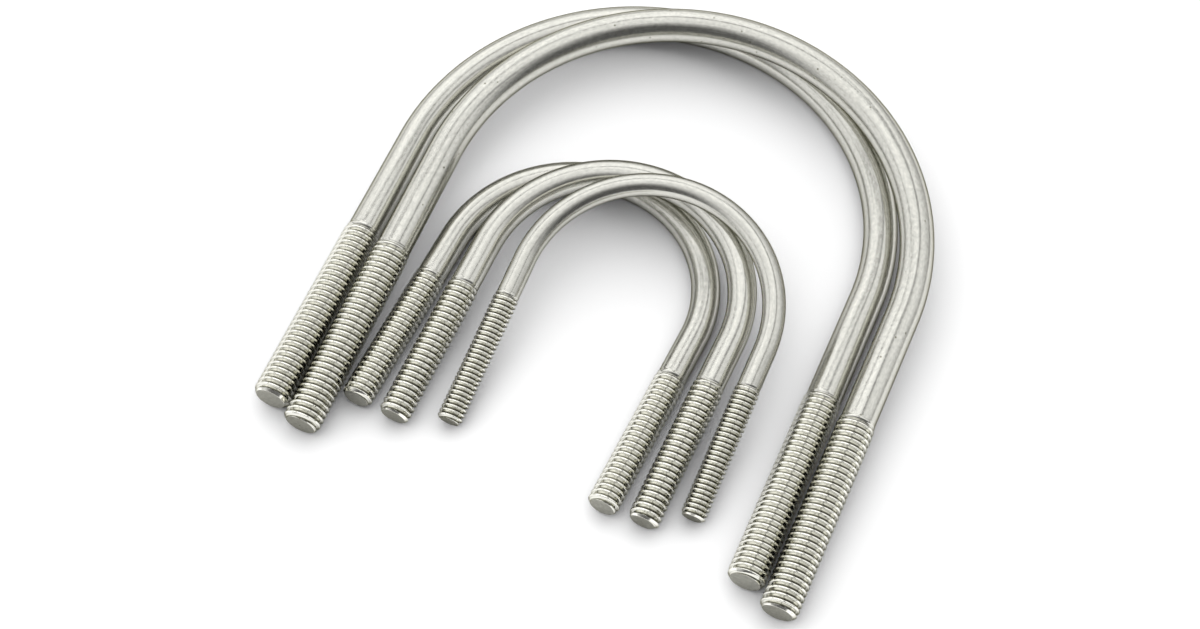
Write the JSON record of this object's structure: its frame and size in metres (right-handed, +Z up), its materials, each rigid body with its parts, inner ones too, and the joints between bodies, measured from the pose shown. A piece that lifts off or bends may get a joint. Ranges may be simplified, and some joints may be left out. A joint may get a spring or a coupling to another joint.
{
  "type": "u-bolt set",
  "caption": "Loose stainless U-bolts in large, small and thin sizes lying over one another: round bars bent to a half ring, with rolled threads on both legs, for clamping pipe.",
  "frame": {"origin": "centre of the set's footprint, on the surface it lies on", "axes": "+Z up, -Y along the legs of the large back bolt, +X from that bolt towards the large front bolt"},
  "size_m": [0.1442, 0.1546, 0.0209],
  "materials": {
    "stainless": "satin, bright drawn and polished stainless steel"
  },
  "bodies": {
    "large_back": {"large_bolt_back": "stainless"},
    "large_front": {"large_bolt_front": "stainless"},
    "small_left": {"small_bolt_left": "stainless"},
    "small_middle": {"small_bolt_middle": "stainless"},
    "thin_right": {"thin_bolt_right": "stainless"}
  },
  "joints": [
    {"name": "large_front_lift", "type": "slide", "parent": "large_back", "child": "large_front", "axis": [0, 0, 1], "range_m": [0, 0.06]},
    {"name": "small_left_lift", "type": "slide", "parent": "large_back", "child": "small_left", "axis": [0, 0, 1], "range_m": [0, 0.06]},
    {"name": "small_middle_lift", "type": "slide", "parent": "small_left", "child": "small_middle", "axis": [0, 0, 1], "range_m": [0, 0.04]},
    {"name": "thin_right_lift", "type": "slide", "parent": "small_middle", "child": "thin_right", "axis": [0, 0, 1], "range_m": [0, 0.04]}
  ]
}
